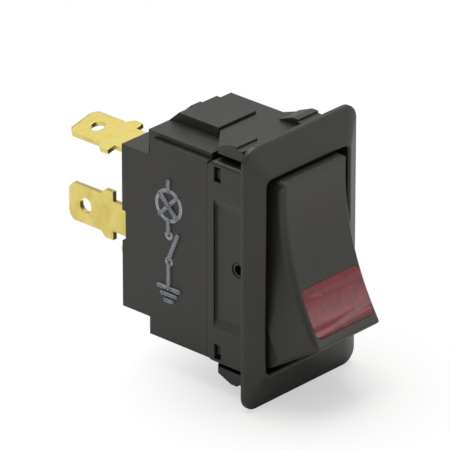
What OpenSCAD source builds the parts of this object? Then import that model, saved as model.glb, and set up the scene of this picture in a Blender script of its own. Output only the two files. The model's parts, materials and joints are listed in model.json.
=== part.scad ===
// Illuminated single-pole panel rocker switch with three blade terminals.
// Front faces -Y, +X is right seen from the front, +Z is up.
// Origin: centre of the bezel's rear face, which seats on the panel.

/* [Bezel] */
// Width of the bezel
bezel_w = 25.4; // [25.2:0.1:27]
// Height of the bezel
bezel_h = 44; // [43:0.5:48]
// Thickness of the bezel at its outer edge
bezel_edge = 0.9; // [0.7:0.1:1.4]
// Height of the bezel's raised inner rim above the panel
bezel_rise = 2.3; // [2:0.1:2.6]
// Width of the flat on the inner rim
rim_flat = 0.5; // [0.3:0.1:0.8]
// Corner radius of the bezel outline
bezel_corner = 2.6; // [1.5:0.1:3.2]
// Radius of the bezel's front edge
bezel_edge_r = 0.4; // [0.2:0.1:0.6]
// Chamfer round the opening's front edge
rim_chamfer = 0.3; // [0.1:0.05:0.35]

/* [Collar] */
// Outer width of the collar that passes through the panel
collar_w = 20.4; // [20.2:0.1:20.8]
// Wall of the collar's top and bottom
collar_end_wall = 0.7; // [0.5:0.05:0.8]
// Depth of the collar behind the panel face
collar_d = 9.1; // [8.9:0.1:9.3]
// Depth of the sunken panel in each collar side
side_sink = 0.45; // [0.3:0.05:0.5]
// Height of the sunken panel in each collar side
side_sink_h = 21.8; // [16:0.2:24]
// Height of the slope at each end of the sunken panel
panel_slope = 1.6; // [0.8:0.1:2]
// Radius of the collar's rear corners
collar_rear_r = 1.2; // [0.6:0.1:1.5]
// Width of the latch slot in the collar side
slot_w = 1.4; // [1.3:0.05:1.6]

/* [Snap clips] */
// Gap between a clip tongue and the end of the base
tongue_gap = 0.6; // [0.4:0.05:1]
// Thickness of a clip tongue
tongue_t = 0.9; // [0.7:0.05:1]
// Width of a clip tongue
tongue_w = 18.4; // [16:0.2:19]
// Rise of a clip barb above its tongue
barb_rise = 1.3; // [0.8:0.05:1.4]
// Width of one barb
barb_w = 4.6; // [3:0.2:4.8]

/* [Rocker] */
// Width of the rocker where it enters the bezel
rocker_w = 17.8; // [17:0.1:18]
// Width of the rocker's face
rocker_face_w = 15.2; // [14.8:0.1:16]
// Radius of the face's long edges
face_edge_r = 1; // [0.6:0.1:1.2]
// Radius of the lips at the face's ends
lip_r = 0.6; // [0.4:0.1:0.8]
// Radius of the rocker's corners
rocker_corner = 1.3; // [0.8:0.1:1.4]
// Hollow radius of the rocker's flared sides
flare_r = 24; // [20:1:30]
// Draft of the sides just below the face
flare_draft = 4; // [2:0.5:5]
// Distance of the tilt axis behind the panel face
pivot_y = 3.2; // [3:0.1:3.4]
// Radius of the rocker's skirt about the tilt axis
skirt_r = 15.9; // [15.5:0.05:16]
// Distance of the middle of the face in front of the tilt axis
face_mid = 9; // [8.8:0.1:9.4]
// Hollow radius of the finger face
face_hollow_r = 43; // [41:1:50]
// Wall of the rocker
rocker_wall = 1.3; // [1.1:0.1:1.5]
// Diameter of the rocker's trunnions
trunnion_d = 2.5; // [2.3:0.1:2.8]
// Diameter of the blind bore in each trunnion
trunnion_bore = 1.7; // [1:0.1:1.8]
// Angle between the two positions of the rocker
rocker_swing = 31; // [29:0.5:31]

/* [Lens] */
// Width of the lens
lens_w = 13.1; // [11:0.1:13.2]
// Height of the lens
lens_h = 8; // [6:0.1:8.2]
// Corner radius of the lens
lens_corner = 1.2; // [0.6:0.1:2]
// Thickness of the lens
lens_t = 1.8; // [1.4:0.1:2]

/* [Base] */
// Width of the base over its side cover
base_w = 19.6; // [19.4:0.1:19.8]
// Thickness of the side cover
cover_t = 1; // [0.8:0.1:1.1]
// Parting gap between collar and side cover
parting_gap = 0.4; // [0.3:0.05:0.5]
// Height of the base between its end blocks
base_h = 34.8; // [34.4:0.1:35]
// Height of the ledge that the base leaves beside the side cover
cover_ledge = 1; // [0.8:0.1:1.3]
// Rise of an end block above the base
block_rise = 1.9; // [1.5:0.1:2.1]
// Width of an end block
block_w = 8.5; // [7.5:0.1:9]
// Drop from the full height to the rear part of the base, each end
rear_drop = 3.6; // [3.1:0.1:3.8]
// Distance from the panel face to the rear of the full-height part
step_y = 22.6; // [22.2:0.1:23]
// Distance from the panel face to the rear face of the base
base_rear = 27.4; // [27:0.1:28.5]

/* [Blade terminals] */
// Width of a blade
blade_w = 6.35; // [6.2:0.05:6.5]
// Thickness of a blade
blade_t = 0.81; // [0.78:0.01:0.84]
// Length of the blade in front of its shoulders
blade_l = 7.1; // [6:0.1:8]
// Width over the shoulders
shoulder_w = 8.2; // [7.4:0.1:8.4]
// Length of the shoulders
shoulder_l = 2.6; // [1.5:0.1:3]
// Width of the neck
neck_w = 5.15; // [4.6:0.05:5.3]
// Length of the neck outside the base
neck_l = 3.2; // [2:0.1:4]
// Diameter of the hole in a blade
blade_hole_d = 2.5; // [1.5:0.1:2.6]
// Distance from the tip to the centre of the hole
blade_hole_y = 3.8; // [3:0.1:4.5]
// Distance of the outer terminals from the middle of the base, across
outer_x = 5.55; // [5.45:0.05:5.6]
// Distance of the outer terminals from the middle of the base, up and down
outer_z = 12.2; // [12:0.05:12.25]
// Twist of the outer terminals about their length
outer_tilt = 13; // [10:0.5:13]

/* [Contacts] */
// Distance of plunger and contact arm left of the middle
contact_x = 4.75; // [4.7:0.05:4.8]
// Diameter of the plunger
plunger_d = 3; // [2.8:0.05:3]
// Distance of the plunger's ball end centre from the tilt axis
plunger_reach = 8; // [7.8:0.05:8.1]
// Thickness of the contact arm
arm_t = 0.6; // [0.5:0.02:0.62]
// Width of the contact arm
arm_w = 3.7; // [3:0.1:3.8]
// Length of each wing of the contact arm
arm_wing = 8.4; // [8:0.1:8.8]
// Angle by which each wing is bent towards the front
arm_bend = 13; // [12:0.25:13.5]
// Angle between the two positions of the contact arm
arm_swing = 13; // [11:0.5:13]
// Distance of the contacts from the middle of the arm
contact_r = 7; // [6.7:0.1:7.1]
// Diameter of a contact's head
contact_d = 2.8; // [2:0.1:2.9]
// Thickness of a contact's head
contact_t = 0.8; // [0.6:0.05:0.9]

/* [Lamp] */
// Diameter of the lamp's glass
bulb_d = 3.2; // [2.6:0.1:3.4]
// Length of the lamp's glass
bulb_l = 6.4; // [5:0.1:6.6]
// Distance of the lamp below the tilt axis
lamp_z = 7.5; // [7:0.1:8]
// Diameter of a lamp lead
lead_d = 0.6; // [0.4:0.05:0.7]
// Distance between the lamp leads
lead_gap = 1.8; // [1.6:0.1:2]

/* [Fits] */
// Gap between the rocker and its opening, each side
rocker_gap = 0.35; // [0.3:0.05:0.45]
// Radial clearance of turning and sliding fits
run_fit = 0.05; // [0.03:0.01:0.08]
// Gap between fixed pieces that nest
nest_fit = 0.05; // [0.03:0.01:0.1]
// Travel of the plunger against its spring
plunger_stroke = 0.3; // [0.2:0.05:0.4]

/* [Hidden] */

$fn = 64;
eps = 0.01;
opening_w = rocker_w + 2 * rocker_gap;
opening_h = 2 * (skirt_r + rocker_gap);
collar_h = opening_h + 2 * collar_end_wall;
rest_tilt = -rocker_swing / 2;
rest_arm = arm_swing / 2;

// Bezel, collar and clips
collar_corner = 0.6;
opening_corner = 0.9;
rim_corner = opening_corner + rim_flat;
tongue_z = base_h / 2 + tongue_gap + tongue_t;
barb_front = 2.1;
barb_step = 2.9;
barb_y0 = 4;
barb_y1 = 5.2;
barb_rear = 7.9;
tongue_rear = 12;
block_y = tongue_rear + 0.3;
panel_front = 1.2;
panel_rear = collar_d - 1.2;
slot_y = 6.4;
slot_foot = 13.7;

// Base and cover
base_l = -base_w / 2 + cover_t;
base_r = base_w / 2;
base_front = collar_d + parting_gap;
spigot_w = opening_w - 2 * nest_fit;
spigot_h = opening_h - 1;
spigot_y = 8;
chamber_y0 = 9.7;
chamber_y1 = 21.8;
chamber_r = -1.4;
chamber_h = 28.8;
latch_z = 14.8;
latch_h = 1.6;
latch_root = spigot_w / 2 - 0.9;
latch_reach = opening_w / 2 + 0.35;
latch_front = slot_y + slot_w / 2;
block_rib_w = 2;
block_rib_rise = 0.45;
window_w = 3.9;
window_h = 7;
stop_w = 3.4;
stop_z0 = 6.2;
stop_z1 = 8.2;
cover_h = base_h - 2 * cover_ledge;
cover_step_y = step_y - 1.2;
rear_h = base_h - 2 * rear_drop;
block_z = base_h / 2 + block_rise;
cover_notch = 0.7;

// Blades
blade_out = neck_l + shoulder_l + blade_l;
blade_lead = 1.2;
blade_chamfer = 0.25;

// Contact system: the arm's fold clears the plunger's ball end at mid travel
arm_vertex = pivot_y + plunger_reach + (plunger_d / 2 + 2 * run_fit) / cos(arm_bend);
arm_axis = arm_vertex + arm_t / 2 + 0.4;
closed_bend = arm_bend - arm_swing / 2;
wing_back = arm_vertex + arm_t / cos(closed_bend);
// Faces of the fixed contact and of the stop, from the arm's two positions
fixed_face = arm_vertex - (contact_r - contact_d / 2) * sin(closed_bend)
    + (arm_t + contact_t) * cos(closed_bend) + 2 * run_fit;
stop_y = wing_back - stop_z0 * tan(closed_bend) + 2 * run_fit;
leg_y0 = fixed_face + contact_t;
contact_z = contact_r * cos(closed_bend);
inner_l = base_rear - leg_y0;
leg_w = 10;
leg_l = 2.6;
leg_drop = outer_z - contact_z + 2.2;

// Contacts and cradle
contact_shank_r = 0.7;
shank_end = 0.3;
rivet_y = 18.9;
rivet_r = 0.8;
rivet_head_r = 1.4;
rivet_head_t = 0.5;
cradle_t = 0.6;
cradle_h = 4;
cradle_back = 16.6;
cradle_top = 20.6;
cradle_front = 12.4;
bar_x0 = base_l + 0.3;
bar_x1 = bar_x0 + blade_t;
cradle_reach = -contact_x - bar_x1;
cradle_x0 = bar_x1;
cradle_x1 = -contact_x + cradle_reach;
arm_pin_r = 0.7;

// Rocker, about the tilt axis
hollow_y = -face_mid - face_hollow_r;
tip_z = 13.4;
tip_y = -hollow_y - sqrt(pow(face_hollow_r, 2) - pow(tip_z, 2));
split_y = 5.2;
split_z = sqrt(pow(skirt_r, 2) - pow(split_y, 2));
end_lean = atan((split_z - tip_z) / (tip_y - split_y));
skirt_rear = -0.8;
clear_front = 1.5;
corner_bite = 0.03;
corner_room = 3;
bore_depth = 1.6;
trunnion_root = 1;
// Section across the face, from the hollow's axis: the long edge's round and the flare
edge_depth = face_hollow_r + face_edge_r;
edge_x = rocker_face_w / 2 - face_edge_r;
flare_depth = edge_depth - (face_edge_r + flare_r) * sin(flare_draft);
flare_x = edge_x + (face_edge_r + flare_r) * cos(flare_draft);
flare_top = edge_depth - face_edge_r * sin(flare_draft);
flare_foot = flare_depth + sqrt(pow(flare_r, 2) - pow(flare_x - rocker_w / 2, 2));
section_depth = face_hollow_r + skirt_r;
// Centre of a lip's round: it touches the end face and the hollow
near_y = -tip_y - hollow_y + lip_r * sin(end_lean);
near_z = tip_z - lip_r * cos(end_lean);
near_along = near_y * cos(end_lean) + near_z * sin(end_lean);
lip_back = sqrt(pow(near_along, 2) - pow(near_y, 2) - pow(near_z, 2) + pow(face_hollow_r + lip_r, 2))
    - near_along;
lip_y = hollow_y + near_y + lip_back * cos(end_lean);
lip_z = near_z + lip_back * sin(end_lean);
lip_turn = atan2(lip_z, lip_y - hollow_y);

// Plunger and spring, about the tilt axis
stem_r = plunger_d / 2 + run_fit + 0.8;
stem_rear = 3.2;
stem_bite = 0.4;
bore_floor = -3.2;
lens_mid = 7.9;
lens_turn = asin(lens_mid / face_hollow_r);
plunger_foot = 1.2;
spring_r = 1.1;
spring_wire = 0.3;
spring_turns = 4;

// Lamp
deck_t = 1;
deck_w = spigot_w - 1.2;
deck_h = 2 * latch_z - latch_h - 1.2;
deck_y = spigot_y - deck_t;
socket_r = bulb_d / 2 + 0.6;
socket_y = 4;
bulb_foot = 6;
strip_t = 0.4;
lower_l = base_rear - spigot_y - strip_t;
strip_w = 1.4;
tab_reach = 0.8;
line_x = -lead_gap / 2;
line_strip_x1 = chamber_r - nest_fit;
ground_x = lead_gap / 2;
line_tab_y = chamber_y0 + nest_fit + strip_t;
line_top = contact_z + 2;

// A rectangle with round corners, made of true arcs.
module round_rect(w, h, r) {
    square([w - 2 * r, h], center = true);
    square([w, h - 2 * r], center = true);
    for (sx = [-1, 1], sz = [-1, 1])
        translate([sx * (w / 2 - r), sz * (h / 2 - r)])
            circle(r);
}

// Extrudes an XZ outline from y0 back to y1.
module slab(y0, y1) {
    translate([0, y1, 0])
        rotate([90, 0, 0])
            linear_extrude(y1 - y0)
                children();
}

// Extrudes a YZ outline across x0 to x1.
module across(x0, x1) {
    translate([x0, 0, 0])
        rotate([90, 0, 90])
            linear_extrude(x1 - x0)
                children();
}

// A box given by its two corners.
module block(a, b) {
    translate(a)
        cube(b - a);
}

// Copies its children at +Z and mirrored at -Z.
module both_ends() {
    children();
    mirror([0, 0, 1])
        children();
}

// ---------------------------------------------------------------- bezel

// Flange with a rounded front edge that slopes up to the rim round the opening.
module bezel_flange() {
    hull() {
        slab(bezel_edge_r - bezel_edge, 0)
            bezel_layer(0);
        for (turn = [30:30:90])
            slab(bezel_edge_r * (1 - sin(turn)) - bezel_edge, 0)
                bezel_layer(bezel_edge_r * (1 - cos(turn)));
        slab(-bezel_rise, 0)
            round_rect(opening_w + 2 * rim_flat, opening_h + 2 * rim_flat, rim_corner, $fn = 48);
    }
}

module bezel_layer(inset) {
    round_rect(bezel_w - 2 * inset, bezel_h - 2 * inset, bezel_corner - inset, $fn = 48);
}

// Opening for the rocker, with a chamfer round its front edge.
module opening() {
    slab(-bezel_rise - 1, collar_d + 1)
        round_rect(opening_w, opening_h, opening_corner);
    hull() {
        slab(-bezel_rise - 1, -bezel_rise)
            round_rect(opening_w + 2 * rim_chamfer, opening_h + 2 * rim_chamfer,
                opening_corner + rim_chamfer, $fn = 48);
        slab(-bezel_rise - 1, -bezel_rise + rim_chamfer)
            round_rect(opening_w, opening_h, opening_corner, $fn = 48);
    }
}

// One clip: a tongue rooted on the flange, with a stepped barb at each side.
module clip() {
    translate([0, 0, tongue_z - tongue_t])
        linear_extrude(tongue_t)
            polygon([
                [-tongue_w / 2, -eps], [tongue_w / 2, -eps],
                [tongue_w / 2, barb_rear], [block_w / 2, tongue_rear],
                [-block_w / 2, tongue_rear], [-tongue_w / 2, barb_rear]]);
    for (side = [0, 1])
        mirror([side, 0, 0])
            across(tongue_w / 2 - barb_w, tongue_w / 2)
                barb_outline();
}

// Side outline of a barb: a ramp, a small step and a ridge.
module barb_outline() {
    polygon([
        [barb_rear, tongue_z - tongue_t], [barb_rear, tongue_z + 0.15 * barb_rise],
        [barb_y1, tongue_z + barb_rise], [barb_y0, tongue_z + barb_rise],
        [barb_y0, tongue_z + 0.72 * barb_rise], [barb_step, tongue_z + 0.62 * barb_rise],
        [barb_step, tongue_z + 0.34 * barb_rise], [barb_front, tongue_z],
        [barb_front, tongue_z - tongue_t]]);
}

// Sunken panel of a collar side, with a slope at each end.
module panel_outline() {
    top = side_sink_h / 2;
    foot = top - panel_slope;
    polygon([
        [0, top], [side_sink, foot], [side_sink, -foot],
        [0, -top], [-side_sink, -foot], [-side_sink, foot]]);
}

// Rounds the collar's rear edge at the +Z end.
module rear_corner() {
    across(-collar_w, collar_w)
        difference() {
            translate([collar_d - collar_rear_r, collar_h / 2 - collar_rear_r])
                square(collar_rear_r + 1);
            translate([collar_d - collar_rear_r, collar_h / 2 - collar_rear_r])
                circle(collar_rear_r);
        }
}

module bezel_frame() {
    color("#2b2b29")
    difference() {
        union() {
            bezel_flange();
            slab(-eps, collar_d)
                round_rect(collar_w, collar_h, collar_corner);
            both_ends()
                clip();
        }
        opening();
        for (side = [-1, 1])
            translate([side * collar_w / 2, 0, 0])
                slab(panel_front, panel_rear)
                    panel_outline();
        both_ends() {
            rear_corner();
            // latch slots, closed by the collar's end wall
            block([-collar_w, slot_y, slot_foot], [collar_w, slot_y + slot_w, opening_h / 2]);
        }
        // trunnion bores
        translate([-collar_w, pivot_y, 0])
            rotate([0, 90, 0])
                cylinder(d = trunnion_d + 2 * run_fit, h = 2 * collar_w);
    }
}

// ----------------------------------------------------------------- base

// Full-height outline of the base, seen from the side.
module base_side_outline(h, y0, step) {
    polygon([
        [y0, -h / 2], [step, -h / 2], [step, -rear_h / 2], [base_rear, -rear_h / 2],
        [base_rear, rear_h / 2], [step, rear_h / 2], [step, h / 2], [y0, h / 2]]);
}

// Block on one end of the base, with a slope at its rear and a rib down the slope.
module end_block() {
    across(-block_w / 2, block_w / 2)
        polygon([
            [block_y, base_h / 2 - 1], [step_y, base_h / 2 - 1], [step_y, base_h / 2],
            [step_y - 1.1 * block_rise, block_z], [block_y, block_z]]);
    across(-block_rib_w / 2, block_rib_w / 2)
        polygon([
            [step_y - 2 * block_rise, base_h / 2 - 1], [step_y, base_h / 2 - 1],
            [step_y, base_h / 2 + block_rib_rise], [step_y - 1.1 * block_rise + block_rib_rise, block_z],
            [step_y - 2 * block_rise, block_z]]);
}

// Latch arm of the base that reaches into a slot of the collar.
module latch() {
    block([latch_root, latch_front, latch_z - latch_h / 2],
        [spigot_w / 2, base_front, latch_z + latch_h / 2]);
    block([spigot_w / 2 - eps, slot_y + nest_fit, latch_z - latch_h / 2],
        [latch_reach, slot_y + slot_w - nest_fit, latch_z + latch_h / 2]);
}

module base_housing() {
    color("#2d2d2a")
    difference() {
        union() {
            across(base_l, base_r)
                base_side_outline(base_h, base_front, step_y);
            both_ends()
                end_block();
            slab(spigot_y, base_front)
                round_rect(spigot_w, spigot_h, opening_corner);
            both_ends()
                for (side = [0, 1])
                    mirror([side, 0, 0])
                        latch();
        }
        // contact chamber, open towards the side cover
        difference() {
            block([base_l - 1, chamber_y0, -chamber_h / 2], [chamber_r, chamber_y1, chamber_h / 2]);
            block([-contact_x - stop_w / 2, stop_y, -stop_z1],
                [-contact_x + stop_w / 2, chamber_y1 + 1, -stop_z0]);
        }
        plunger_window(spigot_y - 1, chamber_y0 + 1);
        terminal_cuts();
        lamp_cuts();
    }
}

// Opening through which the plunger swings.
module plunger_window(y0, y1) {
    block([-contact_x - window_w / 2, y0, -window_h / 2], [-contact_x + window_w / 2, y1, window_h / 2]);
}

module side_cover() {
    color("#2a2a28")
    difference() {
        across(-base_w / 2, base_l)
            base_side_outline(cover_h, base_front, cover_step_y);
        // notch in the rear edge beside the middle terminal
        block([-base_w, base_rear - cover_notch, -neck_w / 2], [0, base_rear + 1, neck_w / 2]);
    }
}

// ------------------------------------------------------------ terminals

// A blade with shoulders and neck, flat in XY, tip towards +Y, neck's foot at y = 0.
module blade_outline() {
    root = neck_l;
    crest = neck_l + shoulder_l;
    tip = crest + blade_l;
    flare = (shoulder_w - blade_w) / 2;
    polygon([
        [-neck_w / 2, -eps], [-neck_w / 2, root], [-shoulder_w / 2, root],
        [-shoulder_w / 2, crest - flare], [-blade_w / 2, crest],
        [-blade_w / 2, tip - blade_lead], [-blade_w / 2 + blade_lead, tip],
        [blade_w / 2 - blade_lead, tip], [blade_w / 2, tip - blade_lead],
        [blade_w / 2, crest], [shoulder_w / 2, crest - flare],
        [shoulder_w / 2, root], [neck_w / 2, root], [neck_w / 2, -eps]]);
}

module blade() {
    difference() {
        intersection() {
            translate([0, 0, -blade_t / 2])
                linear_extrude(blade_t)
                    blade_outline();
            across(-shoulder_w, shoulder_w)
                polygon([
                    [-1, -blade_t / 2], [blade_out - 2 * blade_chamfer, -blade_t / 2],
                    [blade_out, -blade_t / 2 + blade_chamfer], [blade_out, blade_t / 2 - blade_chamfer],
                    [blade_out - 2 * blade_chamfer, blade_t / 2], [-1, blade_t / 2]]);
        }
        translate([0, blade_out - blade_hole_y, -blade_t])
            cylinder(d = blade_hole_d, h = 2 * blade_t);
    }
}

// Places the frame of the upper terminal; turned half round it is the lower one's.
module at_outer() {
    translate([-outer_x, base_rear, outer_z])
        rotate([0, -outer_tilt, 0])
            children();
}

module at_lower() {
    rotate([0, 180, 0])
        at_outer()
            children();
}

module at_middle() {
    translate([bar_x0 + blade_t / 2, base_rear, 0])
        rotate([0, 90, 0])
            children();
}

module terminal_upper() {
    color("#d9c46a")
    difference() {
        at_outer() {
            blade();
            block([-neck_w / 2, -inner_l, -blade_t / 2], [neck_w / 2, 0, blade_t / 2]);
            block([-leg_l, -inner_l, -leg_drop], [leg_w - leg_l, -inner_l + blade_t, blade_t / 2]);
        }
        contact_shank(leg_y0 - 1, leg_y0 + 2, contact_shank_r + nest_fit / 2);
        // the leg's edge stands square against the lamp's strip
        block([line_strip_x1 - strip_t, leg_y0 - 1, 0], [base_r, leg_y0 + blade_t + 1, base_h / 2]);
    }
}

// Shank of the fixed contact, or its bore.
module contact_shank(y0, y1, r) {
    translate([-contact_x, y0, contact_z])
        rotate([-90, 0, 0])
            cylinder(r = r, h = y1 - y0);
}

module fixed_contact() {
    color("#c9ccd0")
    union() {
        contact_shank(leg_y0, leg_y0 + blade_t + shank_end, contact_shank_r);
        contact_shank(fixed_face, leg_y0, contact_d / 2);
    }
}

module terminal_middle() {
    color("#d9c46a")
    difference() {
        union() {
            at_middle()
                blade();
            block([bar_x0, cradle_front + 1.4, -neck_w / 2], [bar_x1, base_rear, neck_w / 2]);
        }
        rivet_hole(rivet_r + nest_fit / 2);
    }
}

module rivet_hole(r) {
    translate([-base_w, rivet_y, 0])
        rotate([0, 90, 0])
            cylinder(r = r, h = base_w);
}

module terminal_lower() {
    color("#d9c46a")
    at_lower() {
        blade();
        block([-neck_w / 2, -lower_l, -blade_t / 2], [neck_w / 2, 0, blade_t / 2]);
    }
}

// Slots in the base for the three terminals.
module terminal_cuts() {
    g = nest_fit;
    at_outer()
        block([-neck_w / 2 - g, -base_rear + chamber_y1 - 1, -blade_t / 2 - g],
            [neck_w / 2 + g, 1, blade_t / 2 + g]);
    at_lower()
        block([-neck_w / 2 - g, -lower_l - g, -blade_t / 2 - g], [neck_w / 2 + g, 1, blade_t / 2 + g]);
    block([base_l - 1, chamber_y1 - 1, -neck_w / 2 - g], [bar_x1 + g, base_rear + 1, neck_w / 2 + g]);
}

// ------------------------------------------------------- contact system

module fulcrum_cradle() {
    color("#cdb25a")
    difference() {
        union() {
            block([cradle_x0, cradle_front, -cradle_h / 2], [cradle_x0 + cradle_t, cradle_top, cradle_h / 2]);
            block([cradle_x1 - cradle_t, cradle_front, -cradle_h / 2],
                [cradle_x1, cradle_back + cradle_t, cradle_h / 2]);
            block([cradle_x0, cradle_back, -cradle_h / 2], [cradle_x1, cradle_back + cradle_t, cradle_h / 2]);
        }
        arm_pin(cradle_x0 - 1, cradle_x1 + 1, arm_pin_r + run_fit);
        block([cradle_x0 - 1, cradle_front - 1, -arm_pin_r - run_fit],
            [cradle_x1 + 1, arm_axis, arm_pin_r + run_fit]);
        rivet_hole(rivet_r + nest_fit / 2);
    }
}

module arm_pin(x0, x1, r) {
    translate([x0, arm_axis, 0])
        rotate([0, 90, 0])
            cylinder(r = r, h = x1 - x0);
}

module cradle_rivet() {
    color("#b9a04e")
    translate([bar_x0, rivet_y, 0])
        rotate([0, 90, 0]) {
            cylinder(r = rivet_r, h = blade_t + cradle_t);
            translate([0, 0, blade_t + cradle_t])
                cylinder(r = rivet_head_r, h = rivet_head_t);
        }
}

// Turns its children with the arm about the arm's axis.
module on_arm(angle) {
    translate([-contact_x, arm_axis, 0])
        rotate([angle, 0, 0])
            translate([0, arm_vertex - arm_axis, 0])
                children();
}

// One wing of the arm, bent forwards; side is 1 for the upper wing, -1 for the lower.
module on_wing(side) {
    rotate([side * arm_bend, 0, 0])
        children();
}

module contact_arm() {
    color("#c98f5a")
    difference() {
        union() {
            on_arm(rest_arm) {
                on_wing(1)
                    block([-arm_w / 2, 0, -arm_t * tan(arm_bend)], [arm_w / 2, arm_t, arm_wing]);
                on_wing(-1)
                    block([-arm_w / 2, 0, -arm_wing], [arm_w / 2, arm_t, arm_t * tan(arm_bend)]);
            }
            arm_pin(cradle_x0 + 2 * nest_fit, cradle_x1 - 2 * nest_fit, arm_pin_r);
        }
        on_arm(rest_arm)
            on_wing(1)
                translate([0, -1, contact_r])
                    rotate([-90, 0, 0])
                        cylinder(r = contact_shank_r + nest_fit / 2, h = 3);
    }
}

module moving_contact() {
    color("#c9ccd0")
    on_arm(rest_arm)
        on_wing(1)
            translate([0, 0, contact_r])
                rotate([-90, 0, 0]) {
                    translate([0, 0, -shank_end])
                        cylinder(r = contact_shank_r, h = arm_t + shank_end);
                    translate([0, 0, arm_t])
                        cylinder(d = contact_d, h = contact_t);
                }
}

// --------------------------------------------------------------- rocker

// Puts its children, drawn about the tilt axis in mid position, into the rest position.
module at_rest() {
    translate([0, pivot_y, 0])
        rotate([rest_tilt, 0, 0])
            children();
}

// Skirt of the rocker, seen from the side, one wall smaller and open up to rear.
module skirt_outline(wall, rear) {
    intersection() {
        circle(skirt_r - wall, $fn = 128);
        translate([-split_y - eps, -skirt_r])
            square([split_y + eps + rear, 2 * skirt_r]);
    }
}

// Side outline of the rocker with rounded lips, open in front of the face.
module rocker_outline() {
    end_y = lip_y - lip_r * sin(end_lean);
    end_z = lip_z + lip_r * cos(end_lean);
    face_y = lip_y - lip_r * cos(lip_turn);
    face_z = lip_z - lip_r * sin(lip_turn);
    front_y = face_y - clear_front * cos(lip_turn);
    front_z = face_z - clear_front * sin(lip_turn);
    skirt_outline(0, skirt_rear);
    polygon([
        [-split_y, split_z], [end_y, end_z], [face_y, face_z], [front_y, front_z],
        [front_y, -front_z], [face_y, -face_z], [end_y, -end_z], [-split_y, -split_z]]);
    for (side = [-1, 1])
        translate([lip_y, side * lip_z])
            circle(lip_r);
}

// Half section across the face: radial distance from the hollow's axis against X.
module face_section() {
    difference() {
        polygon([
            [face_hollow_r, -edge_x], [face_hollow_r, edge_x],
            [flare_top, edge_x + face_edge_r * cos(flare_draft)], [flare_top, rocker_w / 2],
            [section_depth, rocker_w / 2], [section_depth, -rocker_w / 2],
            [flare_top, -rocker_w / 2], [flare_top, -edge_x - face_edge_r * cos(flare_draft)]]);
        for (side = [-1, 1])
            translate([flare_depth, side * flare_x])
                circle(flare_r, $fn = 180);
    }
    for (side = [-1, 1])
        translate([edge_depth, side * edge_x])
            circle(face_edge_r);
}

// Turns a half section about the hollow's axis.
module about_hollow() {
    translate([0, hollow_y, 0])
        rotate([0, 90, 0])
            rotate_extrude($fn = 360)
                children();
}

// Rounds the corner between the +X side and the +Z end, along the flare.
module corner_cut() {
    inset = rocker_corner + corner_bite;
    translate([0, -tip_y, tip_z])
        rotate([end_lean, 0, 0])
            translate([flare_x, flare_depth - face_hollow_r, 0])
                rotate_extrude($fn = 180)
                    difference() {
                        translate([flare_r - corner_room, -inset])
                            square(inset + corner_room);
                        translate([flare_r + inset, -inset])
                            circle(rocker_corner);
                    }
}

module rocker_shell() {
    difference() {
        intersection() {
            across(-rocker_w, rocker_w)
                rocker_outline();
            about_hollow()
                face_section();
        }
        for (side = [0, 1])
            mirror([side, 0, 0])
                both_ends()
                    corner_cut();
        rocker_pocket();
    }
}

// Inside of the rocker, one wall smaller all round.
module rocker_pocket() {
    face_x = rocker_face_w / 2 - rocker_wall;
    foot_x = rocker_w / 2 - rocker_wall;
    intersection() {
        across(-rocker_w, rocker_w) {
            skirt_outline(rocker_wall, skirt_r);
            polygon([
                [-split_y, split_z - rocker_wall], [-split_y, -split_z + rocker_wall],
                [-tip_y, -tip_z + rocker_wall], [-tip_y, tip_z - rocker_wall]]);
        }
        about_hollow()
            polygon([
                [face_hollow_r + rocker_wall, -face_x], [face_hollow_r + rocker_wall, face_x],
                [flare_foot, foot_x], [section_depth, foot_x],
                [section_depth, -foot_x], [flare_foot, -foot_x]]);
    }
}

// Prism of the lens outline, square to the face, from y0 to y1 behind it.
module lens_prism(grow, y0, y1) {
    translate([0, hollow_y, 0])
        rotate([-lens_turn, 0, 0])
            translate([0, face_hollow_r, 0])
                slab(y0, y1)
                    round_rect(lens_w + 2 * grow, lens_h + 2 * grow, lens_corner + grow);
}

module rocker() {
    color("#2c2c2b")
    at_rest()
        difference() {
            union() {
                rocker_shell();
                stem();
                trunnions();
            }
            lens_prism(nest_fit, -2, lens_t + 1);
            plunger_bore();
        }
}

module stem() {
    translate([-contact_x, -face_mid + stem_bite, 0])
        rotate([-90, 0, 0])
            cylinder(r = stem_r, h = face_mid - stem_bite + stem_rear);
}

module plunger_bore() {
    translate([-contact_x, bore_floor, 0])
        rotate([-90, 0, 0])
            cylinder(d = plunger_d + 2 * run_fit, h = stem_rear - bore_floor + 1);
}

// Trunnions, each with a blind bore in its end.
module trunnions() {
    reach = collar_w / 2 - side_sink - 3 * nest_fit;
    for (side = [0, 1])
        mirror([side, 0, 0])
            difference() {
                translate([rocker_w / 2 - trunnion_root, 0, 0])
                    rotate([0, 90, 0])
                        cylinder(d = trunnion_d, h = reach - rocker_w / 2 + trunnion_root);
                translate([reach - bore_depth, 0, 0])
                    rotate([0, 90, 0])
                        cylinder(d = trunnion_bore, h = bore_depth + 1);
            }
}

module lens() {
    color("#7d0f1c")
    at_rest()
        difference() {
            lens_prism(0, -2, lens_t);
            across(-lens_w, lens_w)
                translate([hollow_y, 0])
                    circle(face_hollow_r, $fn = 360);
        }
}

// -------------------------------------------------------------- plunger

module plunger() {
    color("#e8e4d8")
    at_rest()
        translate([-contact_x, 0, 0])
            rotate([-90, 0, 0]) {
                translate([0, 0, plunger_foot])
                    cylinder(d = plunger_d, h = plunger_reach - plunger_foot);
                translate([0, 0, plunger_reach])
                    sphere(d = plunger_d);
            }
}

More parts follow.
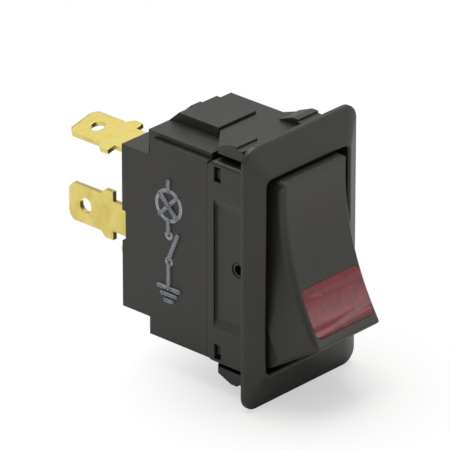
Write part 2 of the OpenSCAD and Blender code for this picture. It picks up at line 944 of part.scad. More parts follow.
// The spring as a stack of rings between the bore's floor and the plunger's foot.
module plunger_spring() {
    room = plunger_foot - plunger_stroke - bore_floor;
    color("#b8bcc2")
    at_rest()
        translate([-contact_x, bore_floor, 0])
            rotate([-90, 0, 0])
                difference() {
                    cylinder(r = spring_r + spring_wire / 2, h = room);
                    translate([0, 0, -1])
                        cylinder(r = spring_r - spring_wire / 2, h = room + 2);
                    for (i = [0:spring_turns - 1])
                        translate([0, 0, (i + 0.5) * room / spring_turns])
                            ring_gap(room / spring_turns - spring_wire * 2);
                }
}

module ring_gap(h) {
    translate([0, 0, -h / 2])
        difference() {
            cylinder(r = 2 * spring_r, h = h);
            translate([0, 0, -1])
                cylinder(r = spring_r, h = h + 2);
        }
}

// ----------------------------------------------------------------- lamp

module lamp_deck() {
    color("#3a3a36")
    difference() {
        union() {
            slab(deck_y, spigot_y)
                square([deck_w, deck_h], center = true);
            translate([0, socket_y, -lamp_z])
                rotate([-90, 0, 0])
                    cylinder(r = socket_r, h = deck_y - socket_y + eps);
        }
        translate([0, socket_y - 1, -lamp_z])
            rotate([-90, 0, 0])
                cylinder(d = bulb_d + 2 * nest_fit, h = bulb_foot - socket_y + 1);
        plunger_window(deck_y - 1, spigot_y + 1);
        for (side = [-1, 1])
            lead(side, 0, spigot_y + 1, lead_d / 2 + nest_fit);
    }
}

module lead(side, y0, y1, r) {
    translate([side * lead_gap / 2, y0, -lamp_z])
        rotate([-90, 0, 0])
            cylinder(r = r, h = y1 - y0);
}

module lamp_bulb() {
    color("#f3e9d2")
    translate([0, bulb_foot - bulb_l + bulb_d / 2, -lamp_z]) {
        rotate([-90, 0, 0])
            cylinder(d = bulb_d, h = bulb_l - bulb_d / 2);
        sphere(d = bulb_d);
    }
}

module lamp_lead_line() {
    color("#b8bcc2")
    lead(-1, bulb_foot, line_tab_y + nest_fit, lead_d / 2);
}

module lamp_lead_ground() {
    color("#b8bcc2")
    lead(1, bulb_foot, spigot_y + strip_t + nest_fit, lead_d / 2);
}

// Strip along the chamber wall from the lamp's line lead up to the upper terminal's leg.
module lamp_strip_line() {
    front = line_tab_y - strip_t;
    color("#d2bb62")
    difference() {
        union() {
            across(line_strip_x1 - strip_t, line_strip_x1)
                polygon([
                    [front, -lamp_z - tab_reach], [front + strip_w, -lamp_z - tab_reach],
                    [front + strip_w, line_top - strip_w], [leg_y0 + blade_t, line_top - strip_w],
                    [leg_y0 + blade_t, line_top], [front, line_top]]);
            block([line_strip_x1 - eps, front, -lamp_z - tab_reach],
                [line_x + tab_reach, line_tab_y, -lamp_z + tab_reach]);
        }
        lead(-1, front - 1, line_tab_y + 1, lead_d / 2 + nest_fit / 2);
    }
}

// Strip from the lamp's ground lead down to the end of the lower terminal.
module lamp_strip_ground() {
    color("#d2bb62")
    difference() {
        ground_strip_block(0);
        lead(1, spigot_y - 1, spigot_y + 1, lead_d / 2 + nest_fit / 2);
    }
}

module ground_strip_block(grow) {
    block([ground_x - tab_reach - grow, spigot_y - grow, -outer_z - tab_reach - grow],
        [outer_x + tab_reach + grow, spigot_y + strip_t, -lamp_z + tab_reach + grow]);
}

// Room in the base for the lamp's leads and strips.
module lamp_cuts() {
    g = 2 * nest_fit;
    lead(-1, spigot_y - 1, line_tab_y + g, lead_d / 2 + nest_fit);
    lead(1, spigot_y - 1, spigot_y + strip_t + g, lead_d / 2 + nest_fit);
    block([chamber_r - 1, chamber_y0, -lamp_z - tab_reach - g],
        [line_x + tab_reach + g, line_tab_y + g, -lamp_z + tab_reach + g]);
    ground_strip_block(nest_fit);
}

// ---------------------------------------------------------------- nodes

bezel_frame();
base_housing();
side_cover();
lamp_deck();
terminal_upper();
terminal_middle();
terminal_lower();
fixed_contact();
fulcrum_cradle();
cradle_rivet();
contact_arm();
moving_contact();
rocker();
lens();
plunger();
plunger_spring();
lamp_bulb();
lamp_lead_line();
lamp_lead_ground();
lamp_strip_line();
lamp_strip_ground();
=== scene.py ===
import json
import math
from itertools import product

import bpy
from bpy.props import FloatProperty, FloatVectorProperty, IntProperty, PointerProperty
from bpy.types import NodeSocket, Operator, Panel, PropertyGroup
from bpy.utils import register_class, unregister_class
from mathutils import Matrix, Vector

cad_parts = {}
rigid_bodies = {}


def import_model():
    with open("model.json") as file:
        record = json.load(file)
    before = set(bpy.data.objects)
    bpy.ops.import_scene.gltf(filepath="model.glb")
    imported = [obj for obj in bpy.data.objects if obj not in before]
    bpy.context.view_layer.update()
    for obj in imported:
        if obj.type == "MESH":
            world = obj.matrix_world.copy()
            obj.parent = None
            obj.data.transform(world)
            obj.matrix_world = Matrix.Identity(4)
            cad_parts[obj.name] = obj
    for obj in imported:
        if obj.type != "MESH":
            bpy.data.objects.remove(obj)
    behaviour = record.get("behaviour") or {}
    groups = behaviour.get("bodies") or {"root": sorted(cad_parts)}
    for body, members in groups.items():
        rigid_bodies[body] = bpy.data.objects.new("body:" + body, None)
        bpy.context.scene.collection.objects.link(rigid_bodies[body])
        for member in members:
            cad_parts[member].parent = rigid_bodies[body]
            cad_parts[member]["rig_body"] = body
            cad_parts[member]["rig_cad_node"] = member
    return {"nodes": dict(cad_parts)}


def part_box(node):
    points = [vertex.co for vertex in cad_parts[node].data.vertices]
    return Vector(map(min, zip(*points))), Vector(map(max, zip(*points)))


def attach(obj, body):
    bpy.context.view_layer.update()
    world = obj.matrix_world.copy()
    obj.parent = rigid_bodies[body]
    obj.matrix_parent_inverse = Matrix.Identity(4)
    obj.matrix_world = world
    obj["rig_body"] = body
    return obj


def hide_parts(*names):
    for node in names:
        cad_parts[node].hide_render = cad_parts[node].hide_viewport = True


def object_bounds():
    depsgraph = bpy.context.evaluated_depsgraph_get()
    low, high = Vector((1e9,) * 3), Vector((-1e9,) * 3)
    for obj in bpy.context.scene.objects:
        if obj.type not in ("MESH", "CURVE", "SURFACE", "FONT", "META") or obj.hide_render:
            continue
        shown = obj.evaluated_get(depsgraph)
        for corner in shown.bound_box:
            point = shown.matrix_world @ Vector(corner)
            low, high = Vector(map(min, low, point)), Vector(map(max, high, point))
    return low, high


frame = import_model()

bl_info = {
    "name": "Panel Rocker Switch",
    "version": (1, 0, 0),
    "blender": (4, 5, 0),
    "location": "View3D > Sidebar > Rocker Switch",
    "description": "Finishes, lens, printed diagram and stage of a lit panel rocker switch",
    "category": "Object",
}

MM = 0.001
CAD_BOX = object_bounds()

WHITE = (1, 1, 1, 1)

# Lens prisms: half diagonal of foot and tip on a unit square, shares of the pitch, sink in the back
PRISM_FOOT = 0.7
PRISM_TIP = 0.12
PRISM_FILL = 0.92
PRISM_LEAN = 0.22
PRISM_SINK = 0.02 * MM

# Share of a printed line's width that each corner of its end is rounded by
ROUND_END = 0.49

# Soft lamps: place, what they are aimed at, and side
OVERHEAD_PLACE, OVERHEAD_SIDE = (0.05, 0.12, 0.55), 0.5
FRONT_PLACE, FRONT_SIDE = (0.35, -0.45, 0.25), 0.3
LAMP_AIM = (0, 0.01, 0)
FLOOR_SIDE = 3.0


# ---------------------------------------------------------------- helpers

def srgb(code):
    """A hex colour as it is written, turned to the linear values that shaders take."""
    values = [int(code[i:i + 2], 16) / 255 for i in (0, 2, 4)]
    linear = [v / 12.92 if v <= 0.04045 else ((v + 0.055) / 1.055) ** 2.4 for v in values]
    return (*linear, 1.0)


def add_node(tree, kind, inputs=None, **settings):
    """Adds one node. An input is a value, or the output that it is linked to."""
    made = tree.nodes.new(kind)
    for name, value in settings.items():
        setattr(made, name, value)
    for socket, value in (inputs or {}).items():
        if isinstance(value, NodeSocket):
            tree.links.new(value, made.inputs[socket])
        else:
            made.inputs[socket].default_value = value
    return made


def new_material(name):
    """An empty material, with its node tree and its output."""
    material = bpy.data.materials.new(name)
    material.use_nodes = True
    material.node_tree.nodes.clear()
    return material, material.node_tree


def clouded(tree, size, window, colours, rough=None, detail=3.0, roughness=0.5):
    """Soft noise of one size, two colours mixed where it lies in a window, and a roughness
    that follows it between two values."""
    place = add_node(tree, "ShaderNodeTexCoord")
    noise = add_node(tree, "ShaderNodeTexNoise", {
        "Vector": place.outputs["Object"], "Scale": 1 / size, "Detail": detail,
        "Roughness": roughness}).outputs["Fac"]
    factor = add_node(tree, "ShaderNodeMapRange", {
        "Value": noise, "From Min": window[0], "From Max": window[1]})
    colour = add_node(tree, "ShaderNodeMix", {
        0: factor.outputs["Result"], 6: srgb(colours[0]), 7: srgb(colours[1])}, data_type="RGBA")
    if rough is None:
        return noise, colour.outputs[2]
    varied = add_node(tree, "ShaderNodeMapRange", {
        "Value": noise, "To Min": rough[0], "To Max": rough[1]})
    return noise, colour.outputs[2], varied.outputs["Result"]


def rounded_edges_and_highlight(tree, radius):
    """The normal with its edges rounded off, and a factor that is high along them."""
    rounded = add_node(tree, "ShaderNodeBevel", {"Radius": radius}, samples=6).outputs["Normal"]
    plain = add_node(tree, "ShaderNodeNewGeometry").outputs["True Normal"]
    dot = add_node(tree, "ShaderNodeVectorMath", {0: rounded, 1: plain}, operation="DOT_PRODUCT")
    # the cosine is 1 on a flat face, and falls where the normal turns round an edge
    factor = add_node(tree, "ShaderNodeMapRange", {
        "Value": dot.outputs["Value"], "From Min": 0.995, "From Max": 0.8})
    return rounded, factor.outputs["Result"]


def finish_surface(tree, inputs, relief=None):
    """A Principled surface, with a relief if its bump inputs are given, linked to the output."""
    if relief:
        inputs = {**inputs, "Normal": add_node(tree, "ShaderNodeBump", relief).outputs["Normal"]}
    shader = add_node(tree, "ShaderNodeBsdfPrincipled", inputs)
    add_node(tree, "ShaderNodeOutputMaterial", {"Surface": shader.outputs[0]})


# -------------------------------------------------------------- materials

def moulded_nylon(name, base, lit, roughness, round_off):
    """Glass-filled nylon, injection moulded in a spark-eroded tool: a satin black with a fine even grain and
    faint flow clouds. Its edges are a little smoother, and they are painted lighter towards grey as a
    painted highlight."""
    material, tree = new_material(name)
    # flow clouds about 7 mm across
    _, colour, rough = clouded(tree, 7 * MM, (0.35, 0.7), (base, lit),
                               (roughness - 0.05, roughness + 0.07), roughness=0.55)
    # spark grain of about 0.12 mm
    grain = add_node(tree, "ShaderNodeTexNoise", {
        "Vector": add_node(tree, "ShaderNodeTexCoord").outputs["Object"],
        "Scale": 1 / (0.12 * MM), "Detail": 2.0, "Roughness": 0.6})
    # the edges are painted part of the way to grey as a painted highlight, and made smoother
    normal, edge = rounded_edges_and_highlight(tree, round_off)
    edge_highlight_share = add_node(tree, "ShaderNodeMath", {0: edge, 1: 0.35}, operation="MULTIPLY")
    edge_highlight_colour = add_node(tree, "ShaderNodeMix", {
        0: edge_highlight_share.outputs[0], 6: colour, 7: srgb("3C3C36")}, data_type="RGBA")
    smooth = add_node(tree, "ShaderNodeMath", {0: edge, 1: -0.08, 2: rough}, operation="MULTIPLY_ADD")
    finish_surface(
        tree, {"Base Color": edge_highlight_colour.outputs[2], "Roughness": smooth.outputs[0], "IOR": 1.53},
        {"Height": grain.outputs["Fac"], "Distance": 0.006 * MM, "Strength": 0.5, "Normal": normal})
    return material


def stamped_metal(name, base, dark, roughness, round_off):
    """Strip metal, rolled and then stamped: faint rolling lines along Y, the way the blades
    lie, soft blotches of tarnish, and edges that the die has rounded."""
    material, tree = new_material(name)
    _, colour, rough = clouded(tree, 2.5 * MM, (0.42, 0.8), (base, dark),
                               (roughness - 0.06, roughness + 0.1), detail=4.0, roughness=0.6)
    # rolling lines 0.2 mm apart and 40 times as long
    across, along = 1 / (0.2 * MM), 1 / (8 * MM)
    lines = add_node(tree, "ShaderNodeMapping", {
        "Vector": add_node(tree, "ShaderNodeTexCoord").outputs["Object"],
        "Scale": (across, along, across)})
    rolled = add_node(tree, "ShaderNodeTexNoise", {
        "Vector": lines.outputs[0], "Scale": 1.0, "Detail": 2.0})
    rounded = add_node(tree, "ShaderNodeBevel", {"Radius": round_off}, samples=6)
    finish_surface(
        tree, {"Base Color": colour, "Roughness": rough, "Metallic": 1.0},
        {"Height": rolled.outputs["Fac"], "Distance": 0.004 * MM, "Strength": 0.25,
         "Normal": rounded.outputs["Normal"]})
    return material


def red_polycarbonate():
    """Polycarbonate dyed deep red, injection moulded: nearly opaque while the lamp is off,
    a satin front with a faint ripple from the moulding."""
    material, tree = new_material("red_polycarbonate")
    ripple, colour, rough = clouded(tree, 1.5 * MM, (0.4, 0.65), ("860F20", "6E0C18"),
                                    (0.2, 0.3), detail=2.0)
    rounded = add_node(tree, "ShaderNodeBevel", {"Radius": 0.1 * MM}, samples=6)
    finish_surface(
        tree, {"Base Color": colour, "Roughness": rough, "IOR": 1.585, "Transmission Weight": 0.08},
        {"Height": ripple, "Distance": 0.01 * MM, "Strength": 0.3, "Normal": rounded.outputs["Normal"]})
    return material


def pad_print_ink():
    """White pad-printing ink: matt, and greyer in specks where the film is thin."""
    material, tree = new_material("pad_print_ink")
    speckle, colour = clouded(tree, 0.3 * MM, (0.4, 0.62), ("B9BDC3", "8F949B"))
    finish_surface(tree, {"Base Color": colour, "Roughness": 0.62},
                   {"Height": speckle, "Distance": 0.004 * MM, "Strength": 0.6})
    return material


def plain_moulding(name, base, lit, roughness):
    """Unfilled moulding resin, such as acetal or phenolic: faint clouds and a smooth skin."""
    material, tree = new_material(name)
    cloud, colour, rough = clouded(tree, 2 * MM, (0.35, 0.7), (base, lit),
                                   (roughness - 0.05, roughness + 0.05))
    rounded = add_node(tree, "ShaderNodeBevel", {"Radius": 0.12 * MM}, samples=6)
    finish_surface(
        tree, {"Base Color": colour, "Roughness": rough},
        {"Height": cloud, "Distance": 0.02 * MM, "Strength": 0.3, "Normal": rounded.outputs["Normal"]})
    return material


def lamp_glass():
    """Soda-lime lamp glass, blown: clear, with a slight smoky coat inside from use."""
    material, tree = new_material("lamp_glass")
    _, colour, rough = clouded(tree, 1.5 * MM, (0.3, 0.8), ("F6EFE0", "CFC6B4"), (0.02, 0.1), detail=2.0)
    finish_surface(tree, {"Base Color": colour, "Roughness": rough, "IOR": 1.52,
                          "Transmission Weight": 0.9})
    return material


def dress(material, *nodes):
    """Gives CAD nodes a material."""
    for name in nodes:
        slots = frame["nodes"][name].data.materials
        slots.clear()
        slots.append(material)


# ------------------------------------------------------------- modelling

def only(obj):
    """Makes one object the only one selected, and active."""
    bpy.ops.object.select_all(action="DESELECT")
    obj.select_set(True)
    bpy.context.view_layer.objects.active = obj


def settle(obj, name, body):
    """Names a finished piece, puts its place in its mesh, and lets it ride on a body."""
    only(obj)
    bpy.ops.object.transform_apply(location=True, rotation=True, scale=True)
    obj.name = name
    obj.data.name = name
    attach(obj, body)


def join(pieces):
    """Joins several objects into the first."""
    bpy.ops.object.select_all(action="DESELECT")
    for piece in pieces:
        piece.select_set(True)
    bpy.context.view_layer.objects.active = pieces[0]
    bpy.ops.object.join()
    return pieces[0]


class FinishSettings(PropertyGroup):
    """Roughness and edge rounding of the mouldings and of the strip metal."""
    nylon_roughness: FloatProperty(name="Nylon roughness", description="Roughness of the black mouldings",
                                   default=0.44, min=0.1, max=1.0, subtype="FACTOR")
    nylon_edge: FloatProperty(name="Moulded edge", description="Radius of the mouldings' edges",
                              default=0.22 * MM, min=0.0, max=1 * MM, unit="LENGTH")
    brass_roughness: FloatProperty(name="Brass roughness", description="Roughness of the blades",
                                   default=0.3, min=0.05, max=1.0, subtype="FACTOR")
    brass_edge: FloatProperty(name="Coined edge", description="Radius of the stamped edges",
                              default=0.12 * MM, min=0.0, max=0.4 * MM, unit="LENGTH")


class LensSettings(PropertyGroup):
    """The prisms on the lens's back."""
    columns: IntProperty(name="Columns", description="Prisms across the lens", default=5, min=2, max=9)
    rows: IntProperty(name="Rows", description="Prisms down the lens", default=3, min=1, max=6)
    pitch_x: FloatProperty(name="Pitch across", description="Distance between prisms across the lens",
                           default=2.3 * MM, unit="LENGTH")
    pitch_z: FloatProperty(name="Pitch down", description="Distance between prisms down the lens",
                           default=2.3 * MM, unit="LENGTH")
    prism_depth: FloatProperty(name="Prism depth", description="How far a prism stands off the lens's back",
                               default=0.55 * MM, unit="LENGTH")


class MarkingSettings(PropertyGroup):
    """The circuit diagram printed on the side cover."""
    line: FloatProperty(name="Line", description="Width of a printed line", default=0.62 * MM, unit="LENGTH")
    film: FloatProperty(name="Film", description="Thickness of the ink", default=0.03 * MM, unit="LENGTH")


class StageSettings(PropertyGroup):
    """Floor, lamps and camera."""
    azimuth: FloatProperty(name="Azimuth", description="Camera's turn from straight ahead",
                           default=math.radians(-47.5), subtype="ANGLE", unit="ROTATION")
    elevation: FloatProperty(name="Elevation", description="Camera's height above level",
                             default=math.radians(25.3), subtype="ANGLE", unit="ROTATION")
    distance: FloatProperty(name="Distance", description="Distance of the camera",
                            default=0.9, unit="LENGTH")
    focal: FloatProperty(name="Focal length", description="Focal length on a 36 mm frame",
                         default=470.0, subtype="DISTANCE_CAMERA")
    aim: FloatVectorProperty(name="Aim", description="Point that the camera looks at",
                             default=(-0.00376, 0.01143, 0.003), subtype="XYZ", unit="LENGTH")
    floor_colour: FloatVectorProperty(name="Floor", description="Colour of the floor", size=4,
                                      default=srgb("F4F3F0"), subtype="COLOR", min=0.0, max=1.0)
    floor_near: FloatProperty(name="Shadow kept", description="Distance up to which the shadow is whole",
                              default=8 * MM, unit="LENGTH")
    floor_far: FloatProperty(name="White from", description="Distance from which the floor shows white",
                             default=35 * MM, unit="LENGTH")
    fill: FloatProperty(name="Fill", description="Strength of the surround's light",
                        default=0.25, min=0.0, max=1.0, subtype="FACTOR")
    mirrored: FloatProperty(name="Mirrored", description="Strength of the surround in reflections",
                            default=0.55, min=0.0, max=1.0, subtype="FACTOR")
    overhead_power: FloatProperty(name="Overhead", description="Power of the lamp overhead",
                                  default=3.4, min=0.0, unit="POWER")
    front_power: FloatProperty(name="Front", description="Power of the lamp in front",
                               default=0.5, min=0.0, unit="POWER")


class SWITCH_OT_mouldings(Operator):
    """Finishes the bezel frame, base, cover, rocker and lamp deck as moulded plastic"""
    bl_idname = "switch.mouldings"
    bl_label = "Black Mouldings"

    def execute(self, context):
        finish = context.scene.switch_finish
        rough, edge = finish.nylon_roughness, finish.nylon_edge
        dress(moulded_nylon("frame_nylon", "211F1B", "272621", rough, edge), "bezel_frame")
        dress(moulded_nylon("base_nylon", "211F1B", "272621", rough + 0.02, edge * 0.7),
              "base_housing", "side_cover")
        dress(moulded_nylon("rocker_nylon", "211F1B", "272621", rough - 0.02, edge), "rocker")
        dress(plain_moulding("deck_phenolic", "3A3530", "443E38", 0.5), "lamp_deck")
        dress(plain_moulding("plunger_acetal", "E6E3DA", "DAD6CB", 0.38), "plunger")
        return {"FINISHED"}


class SWITCH_OT_metalwork(Operator):
    """Finishes the blades, the contact system and the lamp's strips as strip metal"""
    bl_idname = "switch.metalwork"
    bl_label = "Terminals and Contacts"

    def execute(self, context):
        finish = context.scene.switch_finish
        rough, edge = finish.brass_roughness, finish.brass_edge
        dress(stamped_metal("bright_brass", "E3D27C", "CDB75F", rough, edge),
              "terminal_upper", "terminal_middle", "terminal_lower")
        dress(stamped_metal("spring_brass", "D2BB68", "B89F4E", rough, edge),
              "fulcrum_cradle", "cradle_rivet", "lamp_strip_line", "lamp_strip_ground")
        dress(stamped_metal("copper_strip", "D99A6C", "B9764C", rough, edge), "contact_arm")
        dress(stamped_metal("contact_silver", "E4E3DE", "C6C4BC", 0.24, edge),
              "fixed_contact", "moving_contact")
        dress(stamped_metal("spring_wire", "B9BBBE", "9A9CA0", 0.22, 0.05 * MM), "plunger_spring")
        dress(stamped_metal("tinned_wire", "CFCFCB", "B4B4AF", 0.32, 0.05 * MM),
              "lamp_lead_line", "lamp_lead_ground")
        return {"FINISHED"}


class SWITCH_OT_lamp(Operator):
    """Finishes the lamp's bulb as glass"""
    bl_idname = "switch.lamp"
    bl_label = "Lamp"

    def execute(self, context):
        dress(lamp_glass(), "lamp_bulb")
        return {"FINISHED"}


def lens_back():
    """Centre and normal of the CAD lens's flat back."""
    mesh = frame["nodes"]["lens"].data
    largest = max(mesh.polygons, key=lambda face: face.area if face.normal.y > 0.5 else 0.0)
    normal = largest.normal.copy()
    face = [p for p in mesh.polygons if p.normal.dot(normal) > 0.999]
    area = sum(p.area for p in face)
    return sum((p.center * p.area for p in face), Vector()) / area, normal


def prism(sizes):
    """One four-sided prism round the origin, its tip leaning towards +X."""
    bpy.ops.mesh.primitive_cone_add(vertices=4, radius1=PRISM_FOOT, radius2=PRISM_TIP, depth=1.0,
                                    location=(0, 0, 0))
    obj = bpy.context.object
    bpy.ops.object.mode_set(mode="EDIT")
    bpy.ops.mesh.select_all(action="SELECT")
    bpy.ops.transform.rotate(value=math.radians(45), orient_axis="Z", center_override=(0, 0, 0))
    bpy.ops.transform.resize(center_override=(0, 0, 0), value=(
        sizes.pitch_x * PRISM_FILL, sizes.pitch_z * PRISM_FILL, sizes.prism_depth))
    bpy.ops.mesh.select_all(action="DESELECT")
    bpy.ops.object.mode_set(mode="OBJECT")
    for vertex in obj.data.vertices:
        vertex.select = vertex.co.z > 0
    bpy.ops.object.mode_set(mode="EDIT")
    bpy.ops.transform.translate(value=(sizes.pitch_x * PRISM_LEAN, 0, 0))
    bpy.ops.object.mode_set(mode="OBJECT")
    return obj


def prism_field(sizes, centre, normal):
    """Rows and columns of prisms on the lens's back, joined to one object."""
    first = prism(sizes)
    first.rotation_euler = normal.to_track_quat("Z", "Y").to_euler()
    across = Vector((1, 0, 0))
    down = normal.cross(across).normalized()
    foot = centre + normal * (sizes.prism_depth / 2 - PRISM_SINK)
    prisms = []
    for row, column in product(range(sizes.rows), range(sizes.columns)):
        only(first)
        bpy.ops.object.duplicate()
        copy = bpy.context.object
        copy.location = (foot + across * (column - (sizes.columns - 1) / 2) * sizes.pitch_x
                         + down * (row - (sizes.rows - 1) / 2) * sizes.pitch_z)
        prisms.append(copy)
    bpy.data.objects.remove(first)
    return join(prisms)


def lens_copy():
    """A free copy of the CAD lens, with its doubles merged and its flat faces whole."""
    node = frame["nodes"]["lens"]
    body = node.copy()
    body.data = node.data.copy()
    body.parent = None
    bpy.context.collection.objects.link(body)
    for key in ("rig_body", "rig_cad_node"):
        if key in body:
            del body[key]
    only(body)
    bpy.ops.object.mode_set(mode="EDIT")
    bpy.ops.mesh.select_all(action="SELECT")
    bpy.ops.mesh.remove_doubles(threshold=0.001 * MM)
    bpy.ops.mesh.dissolve_limited(angle_limit=math.radians(1))
    bpy.ops.object.mode_set(mode="OBJECT")
    return body


class SWITCH_OT_lens(Operator):
    """Makes the lens with its field of prisms on the back"""
    bl_idname = "switch.lens"
    bl_label = "Lens"

    def execute(self, context):
        body = lens_copy()
        field = prism_field(context.scene.switch_lens, *lens_back())
        only(body)
        union = body.modifiers.new("Prisms", "BOOLEAN")
        union.operation = "UNION"
        union.solver = "EXACT"
        union.object = field
        bpy.ops.object.modifier_apply(modifier=union.name)
        bpy.data.objects.remove(field)
        bpy.ops.object.mode_set(mode="EDIT")
        bpy.ops.mesh.select_all(action="SELECT")
        bpy.ops.mesh.normals_make_consistent(inside=False)
        bpy.ops.object.mode_set(mode="OBJECT")
        body.data.materials.clear()
        body.data.materials.append(red_polycarbonate())
        settle(body, "lens_window", "rocker")
        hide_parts("lens")
        return {"FINISHED"}


def ring(face_x, y, z, radius, line, film):
    """A printed ring on a face square to X."""
    bpy.ops.mesh.primitive_circle_add(vertices=40, radius=radius + line / 2, fill_type="NGON",
                                      location=(face_x, y, z), rotation=(0, -math.pi / 2, 0))
    obj = bpy.context.object
    bpy.ops.object.mode_set(mode="EDIT")
    bpy.ops.mesh.inset(thickness=line)
    bpy.ops.mesh.delete(type="FACE")
    bpy.ops.mesh.select_all(action="SELECT")
    bpy.ops.mesh.extrude_region_move(TRANSFORM_OT_translate={"value": (-film, 0, 0)})
    bpy.ops.mesh.select_all(action="SELECT")
    bpy.ops.mesh.normals_make_consistent(inside=False)
    bpy.ops.object.mode_set(mode="OBJECT")
    return obj


def bar(face_x, start, end, line, film):
    """A printed line with round ends, from (y, z) to (y, z) on a face square to X."""
    start, end = Vector((face_x, *start)), Vector((face_x, *end))
    length = (end - start).length
    angle = math.atan2(end.z - start.z, end.y - start.y)
    bpy.ops.mesh.primitive_cube_add(size=1, location=(start + end) / 2 - Vector((film / 2, 0, 0)),
                                    rotation=(angle, 0, 0), scale=(film, length + line, line))
    obj = bpy.context.object
    only(obj)
    bpy.ops.object.transform_apply(location=False, rotation=False, scale=True)
    bpy.ops.object.mode_set(mode="EDIT")
    bpy.ops.mesh.select_all(action="DESELECT")
    bpy.ops.object.mode_set(mode="OBJECT")
    for edge in obj.data.edges:
        a, b = (obj.data.vertices[i].co for i in edge.vertices)
        edge.select = abs(a.x - b.x) > film / 2
    bpy.ops.object.mode_set(mode="EDIT")
    bpy.ops.mesh.select_mode(type="EDGE")
    bpy.ops.mesh.bevel(offset=line * ROUND_END, segments=5)
    bpy.ops.mesh.select_mode(type="VERT")
    bpy.ops.object.mode_set(mode="OBJECT")
    return obj


class SWITCH_OT_marking(Operator):
    """Prints a plain circuit diagram on the side cover: lamp, switch and ground"""
    bl_idname = "switch.marking"
    bl_label = "Printed Diagram"

    def execute(self, context):
        sizes = context.scene.switch_marking
        low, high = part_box("side_cover")
        x = low.x
        y = low.y + 0.45 * (high.y - low.y)
        line, film = sizes.line, sizes.film
        lamp_z, lamp_r = 6.4 * MM, 2.5 * MM
        contact_z, pivot_z, ground_z = 1.4 * MM, -2.6 * MM, -7.6 * MM
        dot_r, dot_line = 0.55 * MM, line * 0.8
        lead, throw = 1.6 * MM, 1.9 * MM
        contact_top, arm_end_z = contact_z + 0.5 * MM, contact_z + 0.4 * MM
        dot_z, dot_foot = pivot_z - 0.5 * MM, pivot_z - 1.1 * MM
        ground_halves, ground_step = (2.1 * MM, 1.4 * MM, 0.7 * MM), 1.05 * MM
        cross = lamp_r * math.sqrt(0.5)
        pieces = [
            ring(x, y, lamp_z, lamp_r, line, film),
            bar(x, (y - cross, lamp_z - cross), (y + cross, lamp_z + cross), line, film),
            bar(x, (y - cross, lamp_z + cross), (y + cross, lamp_z - cross), line, film),
            bar(x, (y, lamp_z + lamp_r), (y, lamp_z + lamp_r + lead), line, film),
            bar(x, (y, lamp_z - lamp_r), (y, contact_top), line, film),
            ring(x, y, contact_z, dot_r, dot_line, film),
            bar(x, (y, pivot_z), (y - throw, arm_end_z), line, film),
            ring(x, y, dot_z, dot_r, dot_line, film),
            bar(x, (y, dot_foot), (y, ground_z), line, film),
        ]
        for step, half in enumerate(ground_halves):
            z = ground_z - step * ground_step
            pieces.append(bar(x, (y - half, z), (y + half, z), line, film))
        print_film = join(pieces)
        print_film.data.materials.append(pad_print_ink())
        settle(print_film, "printed_diagram", "housing")
        return {"FINISHED"}


# ------------------------------------------------------------------ stage

def floor_material(stage):
    """Painted studio floor: near white with a touch of roller texture. Away from the switch
    the camera sees it pure white, so that it runs into the background."""
    material, tree = new_material("studio_floor")
    place = add_node(tree, "ShaderNodeTexCoord").outputs["Object"]
    roller = add_node(tree, "ShaderNodeTexNoise", {
        "Vector": place, "Scale": 1 / (3 * MM), "Detail": 3.0})
    relief = add_node(tree, "ShaderNodeBump", {
        "Height": roller.outputs["Fac"], "Distance": 0.02 * MM, "Strength": 0.1})
    paint = add_node(tree, "ShaderNodeBsdfDiffuse", {
        "Color": stage.floor_colour, "Normal": relief.outputs["Normal"]})
    glow = add_node(tree, "ShaderNodeEmission", {"Color": WHITE, "Strength": 1.0})
    reach = add_node(tree, "ShaderNodeVectorMath", {0: place}, operation="LENGTH")
    far = add_node(tree, "ShaderNodeMapRange", {
        "Value": reach.outputs["Value"], "From Min": stage.floor_near, "From Max": stage.floor_far})
    seen = add_node(tree, "ShaderNodeLightPath")
    white = add_node(tree, "ShaderNodeMath", {
        0: far.outputs["Result"], 1: seen.outputs["Is Camera Ray"]}, operation="MULTIPLY")
    shader = add_node(tree, "ShaderNodeMixShader", {
        0: white.outputs[0], 1: paint.outputs[0], 2: glow.outputs[0]})
    add_node(tree, "ShaderNodeOutputMaterial", {"Surface": shader.outputs[0]})
    return material


def surround(stage):
    """A white world that is pure white to the camera and dimmer as a light."""
    world = bpy.data.worlds.new("white_surround")
    world.use_nodes = True
    tree = world.node_tree
    tree.nodes.clear()
    seen = add_node(tree, "ShaderNodeLightPath")
    mirrored = add_node(tree, "ShaderNodeMapRange", {
        "Value": seen.outputs["Is Glossy Ray"], "To Min": stage.fill, "To Max": stage.mirrored})
    strength = add_node(tree, "ShaderNodeMath", {
        0: seen.outputs["Is Camera Ray"], 1: mirrored.outputs["Result"]}, operation="MAXIMUM")
    light = add_node(tree, "ShaderNodeBackground", {
        "Color": WHITE, "Strength": strength.outputs[0]})
    add_node(tree, "ShaderNodeOutputWorld", {"Surface": light.outputs[0]})
    return world


def soft_lamp(name, place, side, power):
    """One square soft lamp, aimed at the middle of the switch."""
    data = bpy.data.lights.new(name, "AREA")
    data.shape = "RECTANGLE"
    data.size = data.size_y = side
    data.energy = power
    lamp = bpy.data.objects.new(name, data)
    bpy.context.scene.collection.objects.link(lamp)
    lamp.location = place
    lamp.rotation_euler = (Vector(LAMP_AIM) - Vector(place)).to_track_quat("-Z", "Y").to_euler()


def studio_camera(stage):
    """The camera, at an azimuth, an elevation and a distance from its aim."""
    data = bpy.data.cameras.new("camera")
    data.lens = stage.focal
    data.sensor_width = 36.0
    data.clip_end = 10.0
    camera = bpy.data.objects.new("camera", data)
    bpy.context.scene.collection.objects.link(camera)
    a, e = stage.azimuth, stage.elevation
    back = Vector((math.sin(a) * math.cos(e), -math.cos(a) * math.cos(e), math.sin(e)))
    camera.location = Vector(stage.aim) + back * stage.distance
    camera.rotation_euler = (-back).to_track_quat("-Z", "Y").to_euler()
    return camera


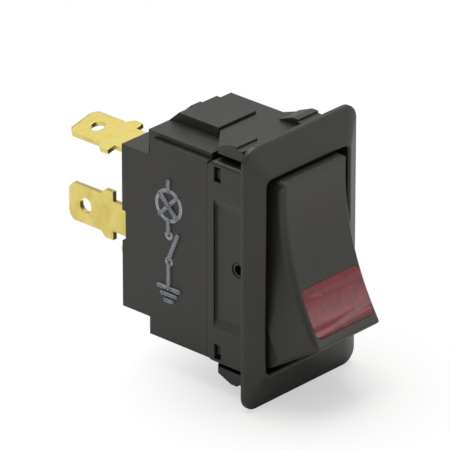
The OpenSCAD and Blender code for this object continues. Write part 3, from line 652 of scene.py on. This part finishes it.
class SWITCH_OT_stage(Operator):
    """Sets the floor, the soft lamps, the white surround and the camera"""
    bl_idname = "switch.stage"
    bl_label = "Stage"

    def execute(self, context):
        stage = context.scene.switch_stage
        scene = context.scene
        scene.view_settings.view_transform = "Standard"
        bpy.ops.object.select_all(action="DESELECT")
        bpy.ops.mesh.primitive_plane_add(size=FLOOR_SIDE, location=(0, 0, CAD_BOX[0][2]))
        floor = context.object
        floor.name = "studio_floor"
        only(floor)
        bpy.ops.object.transform_apply(location=True, rotation=False, scale=True)
        floor.data.materials.append(floor_material(stage))
        scene.world = surround(stage)
        soft_lamp("overhead_box", OVERHEAD_PLACE, OVERHEAD_SIDE, stage.overhead_power)
        soft_lamp("front_box", FRONT_PLACE, FRONT_SIDE, stage.front_power)
        scene.camera = studio_camera(stage)
        return {"FINISHED"}


class SWITCH_PT_sidebar(Panel):
    """Lists the steps and the sizes in the sidebar"""
    bl_idname = "SWITCH_PT_sidebar"
    bl_label = "Rocker Switch"
    bl_space_type = "VIEW_3D"
    bl_region_type = "UI"
    bl_category = "Rocker Switch"

    def draw(self, context):
        for step in STEPS:
            self.layout.operator(step.bl_idname)
        for group in ("switch_finish", "switch_lens", "switch_marking", "switch_stage"):
            settings = getattr(context.scene, group)
            for name in settings.__annotations__:
                self.layout.prop(settings, name)


GROUPS = {
    "switch_finish": FinishSettings,
    "switch_lens": LensSettings,
    "switch_marking": MarkingSettings,
    "switch_stage": StageSettings,
}
STEPS = (SWITCH_OT_stage, SWITCH_OT_mouldings, SWITCH_OT_metalwork, SWITCH_OT_lamp, SWITCH_OT_lens,
         SWITCH_OT_marking)


def register():
    for name, group in GROUPS.items():
        register_class(group)
        setattr(bpy.types.Scene, name, PointerProperty(type=group))
    for step in STEPS:
        register_class(step)
    register_class(SWITCH_PT_sidebar)


def unregister():
    unregister_class(SWITCH_PT_sidebar)
    for step in reversed(STEPS):
        unregister_class(step)
    for name, group in GROUPS.items():
        delattr(bpy.types.Scene, name)
        unregister_class(group)


def main():
    """Registers the add-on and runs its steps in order."""
    register()
    for step in STEPS:
        bpy.ops.object.select_all(action="DESELECT")
        area, action = step.bl_idname.split(".")
        getattr(getattr(bpy.ops, area), action)()


if __name__ == "__main__":
    main()
